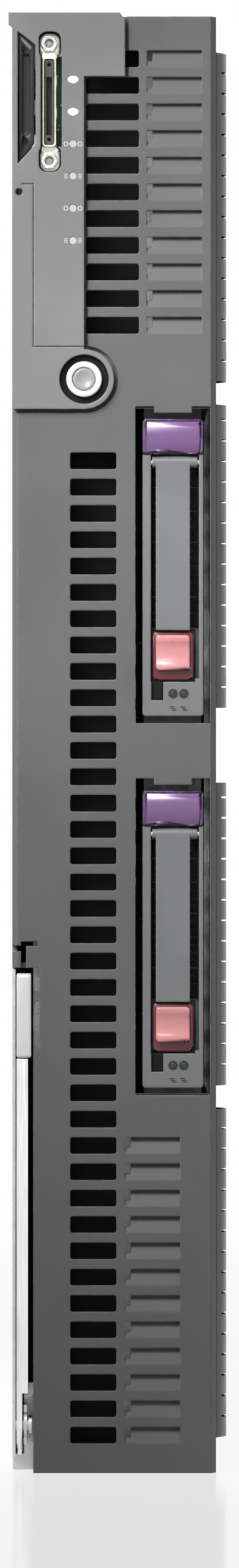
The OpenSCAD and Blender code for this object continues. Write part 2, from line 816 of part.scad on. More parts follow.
module drive_carrier(k) {
    z0 = drive_z(k);
    z1 = z0 + drive_h;
    color("slategray") difference() {
        union() {
            facing(drive_y + 0.4, front_depth) translate([bay_x, (z0 + z1) / 2])
                rounded(drive_w, drive_h, 0.8);
            for (z = [z0 + 0.3, z1 - 1.7])
                block([drive_x0 + 0.4, drive_y + front_depth, z],
                    [drive_x1 - 0.4, drive_y + drive_d, z + 1.4]);
            for (z = [z0 + 0.3, z1 - 5])
                block([drive_x0 + 0.4, drive_y + front_depth, z],
                    [drive_x0 + 1.2, drive_y + drive_d, z + 4.7]);
        }
        facing(drive_y - cut, cut + 5.6) drive_frame_window(k);
        // well of the ejector button
        block([bay_x - 5.6, drive_y - cut, z0 + 8.6], [bay_x + 5.6, drive_y + 7, z0 + 21.9]);
        // seat of the clip at the upper end
        block([drive_x0 - cut, drive_y - cut, z1 - 9], [drive_x1 + cut, drive_y + 3.6, z1 + cut]);
        // air slots beside the lever
        for (i = [0 : 5], x = [drive_x0 + 2.2, drive_x1 - 2.9])
            block([x, drive_y, z0 + 24 + i * 7], [x + 1.2, drive_y + 20, z0 + 29.5 + i * 7]);
        // finger recess and lamps at the lower end
        block([drive_x0 + 2.2, drive_y - cut, z0 + 4], [drive_x0 + 5.2, drive_y + 3, z0 + 8.7]);
        drive_light_rods(k, 0.85, drive_y - cut, drive_y + front_depth + cut);
        // hollow behind the front, open to the disk
        block([drive_x0 + 1.5, drive_y + 7.6, z0 + 1.9],
            [drive_x1 - 1.5, drive_y + front_depth + cut, z1 - 1.9]);
        drive_pin_rod(k);
    }
}

module drive_disk(k) {
    z0 = drive_z(k);
    z1 = z0 + drive_h;
    y0 = drive_y + front_depth + 0.5;
    y1 = drive_y + drive_d - 1;
    x0 = drive_x0 + 1.3;
    x1 = drive_x1 - 0.6;
    color("darkgray") difference() {
        facing(y0, y1 - y0) translate([(x0 + x1) / 2, (z0 + z1) / 2])
            rounded(x1 - x0, drive_h - 3.5, 1);
        // cast step, lid recess and spindle boss on the open side
        sideways(x1 - 0.5, 1) translate([(y0 + y1) / 2 - 8, (z0 + z1) / 2]) difference() {
            rounded(y1 - y0 - 24, drive_h - 12, 6);
            circle(8);
        }
        block([x0 - cut, y1 - 5, z0 + 14], [x0 + 5, y1 + cut, z0 + 50]);
    }
}

module drive_clip(k) {
    z1 = drive_z(k) + drive_h;
    color("mediumpurple") difference() {
        union() {
            facing(drive_y, 3.5) translate([bay_x, z1 - 4.5]) rounded(drive_w, 8.8, 1.2);
            intersection() {
                translate([bay_x, drive_y + 8.6, z1 - 4.5]) rotate([0, 90, 0])
                    cylinder(r = 9.6, h = drive_w - 1.6, center = true, $fn = 96);
                block([drive_x0, drive_y - 2, z1 - 8.8], [drive_x1, drive_y + 0.1, z1 - 0.4]);
            }
        }
        // scooped lower edge
        rod_y(bay_x, z1 - 21.5, 13.2, drive_y - 2 * cut, drive_y + 4);
    }
}

module drive_pin_rod(k) {
    rod_x(drive_y + hinge_set, drive_z(k) + drive_h - hinge_drop, hinge_r, drive_x0 + 0.8, drive_x1 - 0.8);
}

module drive_pin(k) {
    color("silver") drive_pin_rod(k);
}

// The ejector lever: a plate that hangs from a barrel under the clip.
module drive_lever(k) {
    z0 = drive_z(k);
    hinge_z = z0 + drive_h - hinge_drop;
    half = eject_lever_w / 2;
    plate_y = drive_y + hinge_set;
    color("slategray") difference() {
        union() {
            block([bay_x - half, plate_y - barrel_r, z0 + 21.6], [bay_x + half, plate_y, hinge_z]);
            rod_x(plate_y, hinge_z, barrel_r, drive_x0 + 2.45, drive_x1 - 1.45);
            for (x = [bay_x - half, bay_x + half - 1])
                block([x, plate_y - eps, z0 + 24], [x + 1, plate_y + 2.3, hinge_z - 2.2]);
            block([bay_x - 2, plate_y - eps, z0 + 21.6], [bay_x + 2, plate_y + 1.7, z0 + 23.2]);
        }
        rod_x(plate_y, hinge_z, hinge_r + run_gap, drive_x0, drive_x1);
    }
}

// The ejector button: a dished pad on a wider flange.
module drive_button(k) {
    z0 = drive_z(k);
    color("indianred") difference() {
        union() {
            facing(drive_y - 0.4, 5.4) translate([bay_x, z0 + 15.9]) rounded(8.6, 8.9, 1);
            facing(drive_y + 1.4, 1.8) translate([bay_x, z0 + 15.15]) rounded(10.4, 12.2, 1.2);
        }
        translate([bay_x, drive_y - 8.1, z0 + 15.9]) rotate([0, 90, 0])
            cylinder(r = 8.3, h = 20, center = true, $fn = 96);
    }
}

module drive_light_rods(k, r, y0, y1) {
    for (x = [drive_x0 + 7.7, drive_x0 + 10.4])
        rod_y(x, drive_z(k) + 5.6, r, y0, y1);
}

module drive_lights(k) {
    color("palegreen") drive_light_rods(k, 0.8, drive_y + 0.3, drive_y + front_depth - 4);
}

// ---- Drive cage ----

module drive_cage() {
    y1 = backplane_y + 7;
    x0 = bay_x - bay_w / 2 - cage_t;
    z0 = bay_z(2) - 1.2;
    z1 = bay_z(1) + bay_h + 1.2;
    color("lightslategray") difference() {
        union() {
            block([x0, y_plate, z0], [x0 + cage_t, y1, z1]);
            for (k = [1, 2], z = [bay_z(k) - 1.2, bay_z(k) + bay_h + 0.4])
                block([x0, y_plate, z], [x_seat - sheet_t, y1, z + cage_t]);
            // guide rails that the carriers run on
            for (k = [1, 2]) {
                block([drive_x0 + 0.4, y_plate + 6, bay_z(k) - 0.5],
                    [drive_x1 - 0.4, drive_y + drive_d, drive_z(k)]);
                block([drive_x0 + 0.4, y_plate + 6, drive_z(k) + drive_h],
                    [drive_x1 - 0.4, drive_y + drive_d, bay_z(k) + bay_h + 0.5]);
            }
        }
        // slot that the backplane's middle passes through
        block([x_seat - 4.2, backplane_y - 0.1, bay_z(2) + bay_h - 0.8],
            [x_seat, backplane_y + board_t + 0.1, bay_z(1) + 0.8]);
        // air holes in the side wall
        for (k = [1, 2], i = [0 : 3], j = [0 : 2])
            sideways(x0 - cut, cage_t + 2 * cut)
                translate([y_plate + 22 + i * 24, bay_z(k) + 16 + j * 24]) rounded(16, 14, 3);
    }
}

module drive_backplane() {
    color("darkgreen") facing(backplane_y, board_t) difference() {
        pane([bay_x - bay_w / 2 + 0.2, bay_z(2) - 0.4], [x_seat - sheet_t - 0.2, bay_z(1) + bay_h + 0.4]);
        // cleared between the bays, where the cage's shelves pass
        pane([bay_x - bay_w / 2, bay_z(2) + bay_h + 0.3], [x_seat - 4, bay_z(1) - 0.3]);
        for (k = [1, 2])
            translate([bay_x + 1, bay_z(k) + bay_h - 15.6]) rounded(9, 18, 2);
    }
}

module drive_sockets() {
    color("black") for (k = [1, 2]) difference() {
        block([bay_x - 6, backplane_y - 9.6, drive_z(k) + 15],
            [bay_x - 2.6, backplane_y, drive_z(k) + 49]);
        block([bay_x - 5, backplane_y - 9.7, drive_z(k) + 17],
            [bay_x - 3.6, backplane_y - 5, drive_z(k) + 47]);
    }
}

// ---- System board ----

function mirror_z(z, up) = up == 0 ? z : body_h - z;
function card_z(i) = mirror_z(70, i - 1) - card_h / 2;

function board_holes() = concat(
    [for (z = [board_z0 + 5, power_z - 33.5, body_h - 80]) [board_y0 + 8, z]],
    [[board_y0 + 68, board_z1 - 5]],
    [for (y = [row_y[0] - 72, row_y[0] + 73, row_y[1] + 71, board_y1 - 7],
        z = [board_z0 + 5, power_z - 33.5, power_z + 33.5, board_z1 - 5]) [y, z]]
);

module system_board() {
    color("darkgreen") sideways(x_board, board_t) difference() {
        pane([board_y0, board_z0], [board_y1, board_z1]);
        for (p = board_holes())
            translate(p) circle(screw_r + 0.2);
        // cleared corner beside the label tab and the front wiring
        pane([board_y0 - cut, body_h - 60], [board_y0 + 60, board_z1 + cut]);
        translate([board_y0 + 60, body_h - 52]) circle(8);
    }
}

module board_standoffs() {
    color("silver") for (p = board_holes()) difference() {
        rod_x(p[0], p[1], standoff_r, x_wall, x_board);
        rod_x(p[0], p[1], screw_r, x_wall + 0.8, x_board + cut);
    }
}

module board_screws() {
    color("silver") for (p = board_holes()) {
        rod_x(p[0], p[1], screw_r - 0.05, x_wall + 1.5, x_top + eps);
        difference() {
            rod_x(p[0], p[1], 2.6, x_top, x_top + 1.8);
            sideways(x_top + 0.9, 2) translate(p) {
                square([2.8, 0.7], center = true);
                square([0.7, 2.8], center = true);
            }
        }
    }
}

// Middle of heatsink number i, as Y and Z: two rows, each with a lower and an upper one.
function sink_spot(i) = [sink_y[i % 2], mirror_z(sink_z0 + heatsink_w / 2, floor(i / 2))];
function bank_spot(i, j) = [row_y[i % 2], mirror_z(bank_z0 + 4 + j * module_pitch, floor(i / 2))];

module processor_sockets() {
    color("tan") for (i = [0 : 3]) difference() {
        sideways(x_top, lga_h) translate(sink_spot(i)) rounded(lga_w, lga_w, 2);
        sideways(x_top + 1.5, lga_h) translate(sink_spot(i)) square(chip_w + 0.4, center = true);
    }
}

module processors() {
    color("silver") for (i = [0 : 3]) {
        sideways(x_top + 1.5, 2) translate(sink_spot(i)) square(chip_w, center = true);
        sideways(x_top + 3.4, chip_h - 1.9) translate(sink_spot(i)) rounded(chip_w - 10, chip_w - 10, 2);
    }
}

// Upright fins along the airflow on a flat base, seated on the processor's lid.
module heatsink(i) {
    x0 = x_top + 1.5 + chip_h;
    spot = sink_spot(i);
    pitch = (heatsink_w - fin_t) / (fin_count - 1);
    color("silver") difference() {
        translate([0, spot[0] - heatsink_w / 2, 0]) facing(0, heatsink_w) union() {
            pane([x0, spot[1] - heatsink_w / 2], [x0 + sink_base, spot[1] + heatsink_w / 2]);
            for (j = [0 : fin_count - 1])
                translate([x0, spot[1] - heatsink_w / 2 + j * pitch]) square([sink_base + fin_h, fin_t]);
        }
        for (y = [-1, 1], z = [-1, 1])
            rod_x(spot[0] + y * (heatsink_w / 2 - 5), spot[1] + z * (heatsink_w / 2 - 5), 4,
                x0 + sink_base, x0 + sink_base + fin_h + cut);
    }
}

module memory_sockets() {
    color("black") for (i = [0 : 3], j = [0 : module_count - 1]) {
        p = bank_spot(i, j);
        difference() {
            union() {
                block([x_top, p[0] - socket_l / 2, p[1] - socket_w / 2],
                    [x_top + socket_h - 2, p[0] + socket_l / 2, p[1] + socket_w / 2]);
                for (s = [-1, 1])
                    block([x_top, p[0] + s * (socket_l / 2 - 2.6) - 2.6, p[1] - socket_w / 2],
                        [x_top + 19, p[0] + s * (socket_l / 2 - 2.6) + 2.6, p[1] + socket_w / 2]);
            }
            block([x_top + 2, p[0] - module_l / 2 - 0.3, p[1] - slot_w / 2],
                [x_top + 20, p[0] + module_l / 2 + 0.3, p[1] + slot_w / 2]);
        }
    }
}

module memory_module(p) {
    x0 = x_top + 2;
    difference() {
        block([x0, p[0] - module_l / 2, p[1] - module_t / 2],
            [x0 + module_h, p[0] + module_l / 2, p[1] + module_t / 2]);
        // key notch at the contacts and a latch notch at each end
        block([x0 - cut, p[0] + 6, p[1] - 2], [x0 + 4, p[0] + 8.4, p[1] + 2]);
        for (s = [-1, 1])
            rod_z(x0 + 15, p[0] + s * module_l / 2, 1.5, p[1] - 2, p[1] + 2);
    }
    for (n = [-4 : 4])
        block([x0 + 10, p[0] + n * 13.6 - 5, p[1] + module_t / 2 - eps],
            [x0 + 22, p[0] + n * 13.6 + 5, p[1] + module_t / 2 + 1.1]);
}

module memory_modules() {
    color("seagreen") for (i = [0 : 3], j = [0 : module_count - 1])
        memory_module(bank_spot(i, j));
}

module expansion_card(i) {
    z0 = card_z(i);
    color("darkgreen") {
        difference() {
            block([card_x, card_y0, z0], [card_x + board_t, card_y0 + card_l, z0 + card_h]);
            for (y = [5, card_l - 5], z = [5, card_h - 5])
                rod_x(card_y0 + y, z0 + z, 1.6, card_x - cut, card_x + board_t + cut);
        }
        block([card_x + board_t - eps, card_y0 + 12, z0 + 30],
            [card_x + board_t + 2.4, card_y0 + 36, z0 + 54]);
        for (j = [0 : 6])
            block([card_x + board_t - eps, card_y0 + 14, z0 + 32 + j * 3],
                [card_x + board_t + 9, card_y0 + 34, z0 + 33.2 + j * 3]);
        for (j = [0 : 3])
            block([card_x + board_t - eps, card_y0 + 46, z0 + 14 + j * 18],
                [card_x + board_t + 1.2, card_y0 + 58, z0 + 26 + j * 18]);
    }
}

module expansion_sockets() {
    color("ivory") for (i = [1, 2], z = [card_z(i) + 12, card_z(i) + card_h - 36])
        difference() {
            block([x_top, card_y0 + 6, z], [card_x, card_y0 + 14, z + 24]);
            block([x_top + 4, card_y0 + 5, z + 3], [card_x - 4, card_y0 + 8, z + 21]);
        }
}

module storage_card() {
    y0 = sink_y[0] - 56;
    z0 = sink_z0 + heatsink_w + 9.5;
    h = body_h - 2 * z0;
    color("darkgreen") {
        block([x_top, y0, z0 + 2], [x_top + 6.1, y0 + 8, z0 + h - 2]);
        block([x_top + 6, y0 - 1, z0], [x_top + 6 + board_t, y0 + 96, z0 + h]);
        for (z = [z0 + 7, z0 + h - 7])
            rod_x(y0 + 88, z, 2.4, x_top, x_top + 6.1);
        block([x_top + 5.9 + board_t, y0 + 20, z0 + h / 2 - 10],
            [x_top + 8.4 + board_t, y0 + 40, z0 + h / 2 + 10]);
        for (z = [z0 + 4 : 11 : z0 + h - 11])
            block([x_top + 5.9 + board_t, y0 + 54, z], [x_top + 7.2 + board_t, y0 + 66, z + 7]);
    }
}

module cache_battery() {
    y0 = row_y[0] + 74;
    z0 = body_h / 2 - 18;
    color("midnightblue") difference() {
        union() {
            block([x_top, y0, z0], [x_top + 10, y0 + 48, z0 + 36]);
            for (i = [0 : 2])
                rod_y(x_top + 10, z0 + 6 + i * 12, 5.8, y0 + 2, y0 + 46);
        }
        block([x_top - cut, y0 - cut, z0 - cut], [x_top + 3, y0 + 4, z0 + 37]);
    }
}

// ---- Rear connectors ----

module signal_connectors() {
    color("gainsboro") for (z = signal_z) difference() {
        block([x_top, board_y1 - 10, z - 12], [x_top + connector_rise, y_rear, z + 43]);
        // rows of contacts
        for (i = [0 : 9])
            block([x_top + 1.6, y_rear - 8, z - 10.2 + i * 5.3],
                [x_top + connector_rise - 1.6, y_rear + cut, z - 7 + i * 5.3]);
    }
}

module guide_sockets() {
    x = x_top + connector_rise / 2;
    color("silver") for (z = signal_z) difference() {
        block([x_top, board_y1 - 6, z - 26], [x_top + connector_rise, y_rear - 1, z - 13.4]);
        rod_y(x, z - 19.7, guide_r, y_rear - 2 - guide_l, y_rear);
        translate([x, y_rear - 1 + eps, z - 19.7]) rotate([90, 0, 0])
            cylinder(r1 = guide_r + 1, r2 = guide_r, h = 1);
    }
}

module power_connector() {
    color("black") difference() {
        block([x_top, board_y1 - 10, power_z - 22], [x_top + connector_rise, y_rear, power_z + 22]);
        for (i = [0 : 5])
            block([x_top + 2, y_rear - 9, power_z - 19 + i * 7],
                [x_top + connector_rise - 2, y_rear + cut, power_z - 16 + i * 7]);
    }
}

chassis_pan();
access_panel();
cover_latch();
rear_panel();
gasket_strips();
bezel();
dust_screen();
bezel_screws();
control_panel();
power_button();
power_ring();
power_switch();
front_board();
light_pipes();
connector_shell();
connector_insert();
jack_screws();
label_tab();
lever_arm();
lever_tip();
lever_pin();
lever_bracket();
drive_carrier(1);  // drive_1_carrier
drive_disk(1);  // drive_1_disk
drive_clip(1);  // drive_1_clip
drive_lever(1);  // drive_1_lever
drive_pin(1);  // drive_1_pin
drive_button(1);  // drive_1_button
drive_lights(1);  // drive_1_lights
drive_carrier(2);  // drive_2_carrier
drive_disk(2);  // drive_2_disk
drive_clip(2);  // drive_2_clip
drive_lever(2);  // drive_2_lever
drive_pin(2);  // drive_2_pin
drive_button(2);  // drive_2_button
drive_lights(2);  // drive_2_lights
drive_cage();
drive_backplane();
drive_sockets();
system_board();
board_standoffs();
board_screws();
processor_sockets();
processors();
heatsink(0);  // heatsink_1
heatsink(1);  // heatsink_2
heatsink(2);  // heatsink_3
heatsink(3);  // heatsink_4
memory_sockets();
memory_modules();
expansion_card(1);  // expansion_card_1
expansion_card(2);  // expansion_card_2
expansion_sockets();
storage_card();
cache_battery();
signal_connectors();
power_connector();
guide_sockets();
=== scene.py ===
"""The looks of a full-height blade server: finishes, softened mouldings and printed marks, set on the CAD
frame.
Lengths are in metres; MM turns millimetres into them."""

import json

import bmesh
import bpy
from math import cos, pi, radians, sin
from mathutils import Matrix, Vector


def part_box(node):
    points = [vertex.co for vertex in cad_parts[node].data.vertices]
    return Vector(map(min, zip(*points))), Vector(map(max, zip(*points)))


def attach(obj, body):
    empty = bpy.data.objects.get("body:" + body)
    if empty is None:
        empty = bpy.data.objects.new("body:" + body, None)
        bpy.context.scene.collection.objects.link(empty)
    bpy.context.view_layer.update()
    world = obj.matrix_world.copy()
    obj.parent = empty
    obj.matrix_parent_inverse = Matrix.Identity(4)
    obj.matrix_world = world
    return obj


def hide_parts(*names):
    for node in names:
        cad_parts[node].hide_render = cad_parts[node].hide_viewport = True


MM = 0.001

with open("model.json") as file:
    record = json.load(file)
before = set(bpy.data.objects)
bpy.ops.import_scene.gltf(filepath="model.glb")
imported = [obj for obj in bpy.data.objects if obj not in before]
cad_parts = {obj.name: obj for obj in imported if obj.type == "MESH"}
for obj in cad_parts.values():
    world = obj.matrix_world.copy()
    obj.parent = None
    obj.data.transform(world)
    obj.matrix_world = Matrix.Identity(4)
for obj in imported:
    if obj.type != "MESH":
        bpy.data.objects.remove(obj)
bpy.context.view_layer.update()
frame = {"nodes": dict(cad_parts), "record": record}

nodes = frame["nodes"]
bodies_of_nodes = {
    node: body for body, members in frame["record"]["behaviour"]["bodies"].items() for node in members
}


# ---- Shader groups ----


def make_group(name, inputs, outputs):
    """An empty node group with named inputs (name, type, default) and outputs (name, type)."""
    tree = bpy.data.node_groups.new(name, "ShaderNodeTree")
    for label, kind, default in inputs:
        socket = tree.interface.new_socket(label, in_out="INPUT", socket_type="NodeSocket" + kind)
        socket.default_value = default
    for label, kind in outputs:
        tree.interface.new_socket(label, in_out="OUTPUT", socket_type="NodeSocket" + kind)
    tree.nodes.new("NodeGroupInput").name = "inputs"
    tree.nodes.new("NodeGroupOutput").name = "outputs"
    return tree


def add(tree, kind, label, **settings):
    """A new node of this kind, named after what it does, with these properties set."""
    node = tree.nodes.new("ShaderNode" + kind)
    node.name = node.label = label
    for key, value in settings.items():
        setattr(node, key, value)
    return node


def feed(tree, node, **values):
    """Sets a node's inputs by name: a socket is joined, and anything else becomes its value."""
    for key, value in values.items():
        target = node.inputs[key.replace("_", " ")]
        if isinstance(value, bpy.types.NodeSocket):
            tree.links.new(value, target)
        else:
            target.default_value = value
    return node


def reckon(tree, label, operation, *terms, clamp=False):
    """A Math node over these terms; returns its output."""
    node = add(tree, "Math", label, operation=operation, use_clamp=clamp)
    for place, term in enumerate(terms):
        if isinstance(term, bpy.types.NodeSocket):
            tree.links.new(term, node.inputs[place])
        else:
            node.inputs[place].default_value = term
    return node.outputs[0]


def rescale(tree, label, value, low, high, to_low=0.0, to_high=1.0):
    """A Map Range node from low..high to to_low..to_high; returns its output."""
    node = add(tree, "MapRange", label, interpolation_type="SMOOTHSTEP")
    feed(tree, node, Value=value, From_Min=low, From_Max=high, To_Min=to_low, To_Max=to_high)
    return node.outputs[0]


def noise(tree, label, vector, scale, detail=3.0, roughness=0.55):
    """A Noise Texture; returns its value output."""
    node = add(tree, "TexNoise", label)
    feed(tree, node, Vector=vector, Scale=scale, Detail=detail, Roughness=roughness)
    return node.outputs[0]


def moulded_skin_group():
    """Fine spark-eroded grain of a moulding, with the slow drift of its shade."""
    tree = make_group(
        "moulded_skin",
        [("Vector", "Vector", (0, 0, 0)), ("Grain Scale", "Float", 3000.0), ("Drift Scale", "Float", 30.0)],
        [("Height", "Float"), ("Shade", "Float"), ("Gloss", "Float")],
    )
    given, result = tree.nodes["inputs"].outputs, tree.nodes["outputs"]
    pits = add(tree, "TexVoronoi", "pits", feature="SMOOTH_F1")
    feed(tree, pits, Vector=given["Vector"], Scale=given["Grain Scale"])
    grain = noise(tree, "grain", given["Vector"], given["Grain Scale"], 2.0)
    height = reckon(tree, "height", "MULTIPLY", pits.outputs["Distance"], grain)
    drift = noise(tree, "drift", given["Vector"], given["Drift Scale"], 4.0)
    feed(
        tree,
        result,
        Height=height,
        Shade=rescale(tree, "shade", drift, 0.3, 0.7, 0.93, 1.07),
        Gloss=rescale(tree, "gloss", drift, 0.35, 0.65, -0.04, 0.04),
    )
    return tree


def rolled_metal_group():
    """Streaks that rolling or brushing leaves, long along the axis where Stretch is small."""
    tree = make_group(
        "rolled_metal",
        [
            ("Vector", "Vector", (0, 0, 0)),
            ("Stretch", "Vector", (1.0, 0.02, 1.0)),
            ("Scale", "Float", 2500.0),
        ],
        [("Height", "Float"), ("Shade", "Float"), ("Gloss", "Float")],
    )
    given, result = tree.nodes["inputs"].outputs, tree.nodes["outputs"]
    stretched = add(tree, "VectorMath", "stretched", operation="MULTIPLY")
    tree.links.new(given["Vector"], stretched.inputs[0])
    tree.links.new(given["Stretch"], stretched.inputs[1])
    streaks = noise(tree, "streaks", stretched.outputs[0], given["Scale"], 4.0, 0.7)
    clouds = noise(tree, "clouds", given["Vector"], 25.0, 3.0)
    feed(
        tree,
        result,
        Height=streaks,
        Shade=reckon(
            tree,
            "shade",
            "MULTIPLY",
            rescale(tree, "streak shade", streaks, 0.3, 0.7, 0.88, 1.08),
            rescale(tree, "cloud shade", clouds, 0.3, 0.7, 0.94, 1.04),
        ),
        Gloss=rescale(tree, "gloss", streaks, 0.3, 0.7, -0.07, 0.09),
    )
    return tree


def zinc_spangle_group():
    """The crystals of a galvanised sheet."""
    tree = make_group(
        "zinc_spangle",
        [("Vector", "Vector", (0, 0, 0)), ("Scale", "Float", 330.0)],
        [("Shade", "Float"), ("Gloss", "Float")],
    )
    given, result = tree.nodes["inputs"].outputs, tree.nodes["outputs"]
    crystals = add(tree, "TexVoronoi", "crystals")
    feed(tree, crystals, Vector=given["Vector"], Scale=given["Scale"])
    tone = add(tree, "SeparateColor", "tone")
    tree.links.new(crystals.outputs["Color"], tone.inputs[0])
    feed(
        tree,
        result,
        Shade=rescale(tree, "shade", tone.outputs[0], 0.0, 1.0, 0.955, 1.04),
        Gloss=rescale(tree, "gloss", tone.outputs[1], 0.0, 1.0, -0.05, 0.06),
    )
    return tree


def rubbed_edges_group():
    """Where a piece's edges have been rubbed: strong on sharp corners, broken up by noise."""
    tree = make_group(
        "rubbed_edges",
        [("Vector", "Vector", (0, 0, 0)), ("Width", "Float", 0.0006), ("Amount", "Float", 0.6)],
        [("Mask", "Float"), ("Rounded", "Vector")],
    )
    given, result = tree.nodes["inputs"].outputs, tree.nodes["outputs"]
    rounded = add(tree, "Bevel", "rounded normal", samples=4)
    feed(tree, rounded, Radius=given["Width"])
    flat = add(tree, "NewGeometry", "true normal")
    facing = add(tree, "VectorMath", "facing", operation="DOT_PRODUCT")
    tree.links.new(rounded.outputs[0], facing.inputs[0])
    tree.links.new(flat.outputs["Normal"], facing.inputs[1])
    edge = rescale(tree, "edge", facing.outputs["Value"], 0.995, 0.85)
    broken = rescale(tree, "broken", noise(tree, "chips", given["Vector"], 420.0, 5.0, 0.65), 0.38, 0.62)
    worn = reckon(tree, "worn", "MULTIPLY", edge, broken)
    mask = reckon(tree, "mask", "MULTIPLY", worn, given["Amount"], clamp=True)
    feed(tree, result, Mask=mask, Rounded=rounded.outputs[0])
    return tree


def handling_marks_group():
    """Smudges and hair scratches left by hands and tools."""
    tree = make_group(
        "handling_marks",
        [("Vector", "Vector", (0, 0, 0)), ("Scale", "Float", 60.0)],
        [("Smudge", "Float"), ("Scratch", "Float")],
    )
    given, result = tree.nodes["inputs"].outputs, tree.nodes["outputs"]
    smudge = noise(tree, "smudge", given["Vector"], given["Scale"], 5.0, 0.6)
    skew = add(tree, "Mapping", "skew")
    feed(tree, skew, Vector=given["Vector"], Rotation=(0.4, 0.7, 0.5), Scale=(1.0, 0.03, 1.0))
    lines = noise(tree, "lines", skew.outputs[0], 900.0, 2.0)
    feed(
        tree,
        result,
        Smudge=rescale(tree, "smudge mask", smudge, 0.5, 0.72),
        Scratch=rescale(tree, "scratch mask", lines, 0.7, 0.76),
    )
    return tree


def board_artwork_group():
    """Tracks, in patches, and vias of a printed board."""
    tree = make_group(
        "board_artwork",
        [("Vector", "Vector", (0, 0, 0)), ("Pitch", "Float", 520.0)],
        [("Tracks", "Float"), ("Vias", "Float"), ("Height", "Float")],
    )
    given, result = tree.nodes["inputs"].outputs, tree.nodes["outputs"]
    runs = add(tree, "TexBrick", "runs", offset=0.37, offset_frequency=3, squash=0.6, squash_frequency=2)
    feed(
        tree,
        runs,
        Vector=given["Vector"],
        Scale=given["Pitch"],
        Color1=(0, 0, 0, 1),
        Color2=(0.2, 0.2, 0.2, 1),
        Mortar=(1, 1, 1, 1),
        Mortar_Size=0.03,
        Brick_Width=2.4,
        Row_Height=0.42,
    )
    vias = add(tree, "TexVoronoi", "vias", feature="F1")
    feed(tree, vias, Vector=given["Vector"], Scale=given["Pitch"])
    dots = rescale(tree, "dots", vias.outputs["Distance"], 0.16, 0.12)
    brightness = add(tree, "RGBToBW", "brightness")
    tree.links.new(runs.outputs["Color"], brightness.inputs[0])
    patch = rescale(tree, "patches", noise(tree, "zones", given["Vector"], 45.0, 2.0), 0.45, 0.55)
    tracks = reckon(tree, "tracks", "MULTIPLY", brightness.outputs[0], patch)
    feed(
        tree,
        result,
        Tracks=tracks,
        Vias=dots,
        Height=reckon(tree, "height", "ADD", tracks, dots),
    )
    return tree


groups = {
    tree.name: tree
    for tree in (
        moulded_skin_group(),
        rolled_metal_group(),
        zinc_spangle_group(),
        rubbed_edges_group(),
        handling_marks_group(),
        board_artwork_group(),
    )
}


# ---- Finishes ----


class Finish:
    """A material being made: its Principled surface and short calls that join effects to it."""

    def __init__(self, name, colour, roughness, **surface):
        self.material = bpy.data.materials.new(name)
        self.material.use_nodes = True
        self.tree = self.material.node_tree
        self.surface = self.tree.nodes["Principled BSDF"]
        self.place = add(self.tree, "TexCoord", "place").outputs["Object"]
        self.colour = (*colour, 1.0)
        self.roughness = roughness
        self.bumps = None
        self.material.diffuse_color = self.colour
        feed(self.tree, self.surface, Base_Color=self.colour, Roughness=roughness, **surface)

    def effect(self, group, **inputs):
        """One of the shader groups, placed in this material; returns its outputs by name."""
        node = add(self.tree, "Group", group)
        node.node_tree = groups[group]
        feed(self.tree, node, Vector=self.place, **inputs)
        return node.outputs

    def shade(self, factor):
        """Multiplies the colour by a shade factor."""
        node = add(self.tree, "Mix", "shaded", data_type="RGBA", blend_type="MULTIPLY")
        node.inputs["Factor"].default_value = 1.0
        self._colour_into(node.inputs["A"])
        self.tree.links.new(factor, node.inputs["B"])
        self.colour = node.outputs["Result"]

    def tint(self, mask, colour, label="tinted"):
        """Blends towards another colour where the mask is 1."""
        node = add(self.tree, "Mix", label, data_type="RGBA")
        self.tree.links.new(mask, node.inputs["Factor"])
        self._colour_into(node.inputs["A"])
        node.inputs["B"].default_value = (*colour, 1.0)
        self.colour = node.outputs["Result"]

    def _colour_into(self, socket):
        if isinstance(self.colour, bpy.types.NodeSocket):
            self.tree.links.new(self.colour, socket)
        else:
            socket.default_value = self.colour

    def vary_roughness(self, *amounts):
        """Adds these amounts to the roughness."""
        for amount in amounts:
            self.roughness = reckon(self.tree, "roughness", "ADD", self.roughness, amount, clamp=True)

    def bump(self, height, depth, strength=1.0):
        """Raises the surface by height times depth, in metres."""
        node = add(self.tree, "Bump", "relief")
        feed(self.tree, node, Height=height, Distance=depth, Strength=strength)
        if self.bumps is not None:
            self.tree.links.new(self.bumps, node.inputs["Normal"])
        self.bumps = node.outputs[0]

    def done(self):
        """Joins what was gathered to the surface and returns the material."""
        if isinstance(self.colour, bpy.types.NodeSocket):
            self.tree.links.new(self.colour, self.surface.inputs["Base Color"])
        if isinstance(self.roughness, bpy.types.NodeSocket):
            self.tree.links.new(self.roughness, self.surface.inputs["Roughness"])
        if self.bumps is not None:
            self.tree.links.new(self.bumps, self.surface.inputs["Normal"])
        return self.material


def moulding(name, colour, roughness, grain=2600.0, depth=0.012, rub=0.35, behind=None, **surface):
    """A moulded plastic with a fine grain, rubbed paler along its edges. Where a depth and a colour are
    given for the part behind, all that lies deeper than that depth takes that colour, as painted shade in
    its recesses."""
    finish = Finish(name, colour, roughness, **surface)
    if behind:
        shade_depth, shade_colour = behind
        # Painted shade: everything deeper than the given depth takes the dark colour.
        at = add(finish.tree, "SeparateXYZ", "where")
        finish.tree.links.new(finish.place, at.inputs[0])
        painted_shade = rescale(finish.tree, "painted_shade", at.outputs["Y"], shade_depth - 0.1 * MM, shade_depth + 0.1 * MM)
        finish.tint(painted_shade, shade_colour, "deeper part")
    skin = finish.effect("moulded_skin", Grain_Scale=grain)
    marks = finish.effect("handling_marks")
    edges = finish.effect("rubbed_edges", Amount=rub)
    finish.shade(skin["Shade"])
    finish.tint(edges["Mask"], tuple(0.35 + 0.6 * part for part in colour), "rubbed")
    smudged = reckon(finish.tree, "smudged", "MULTIPLY", marks["Smudge"], -0.06)
    finish.vary_roughness(skin["Gloss"], smudged)
    finish.bumps = edges["Rounded"]
    finish.bump(skin["Height"], depth * MM)
    return finish.done()


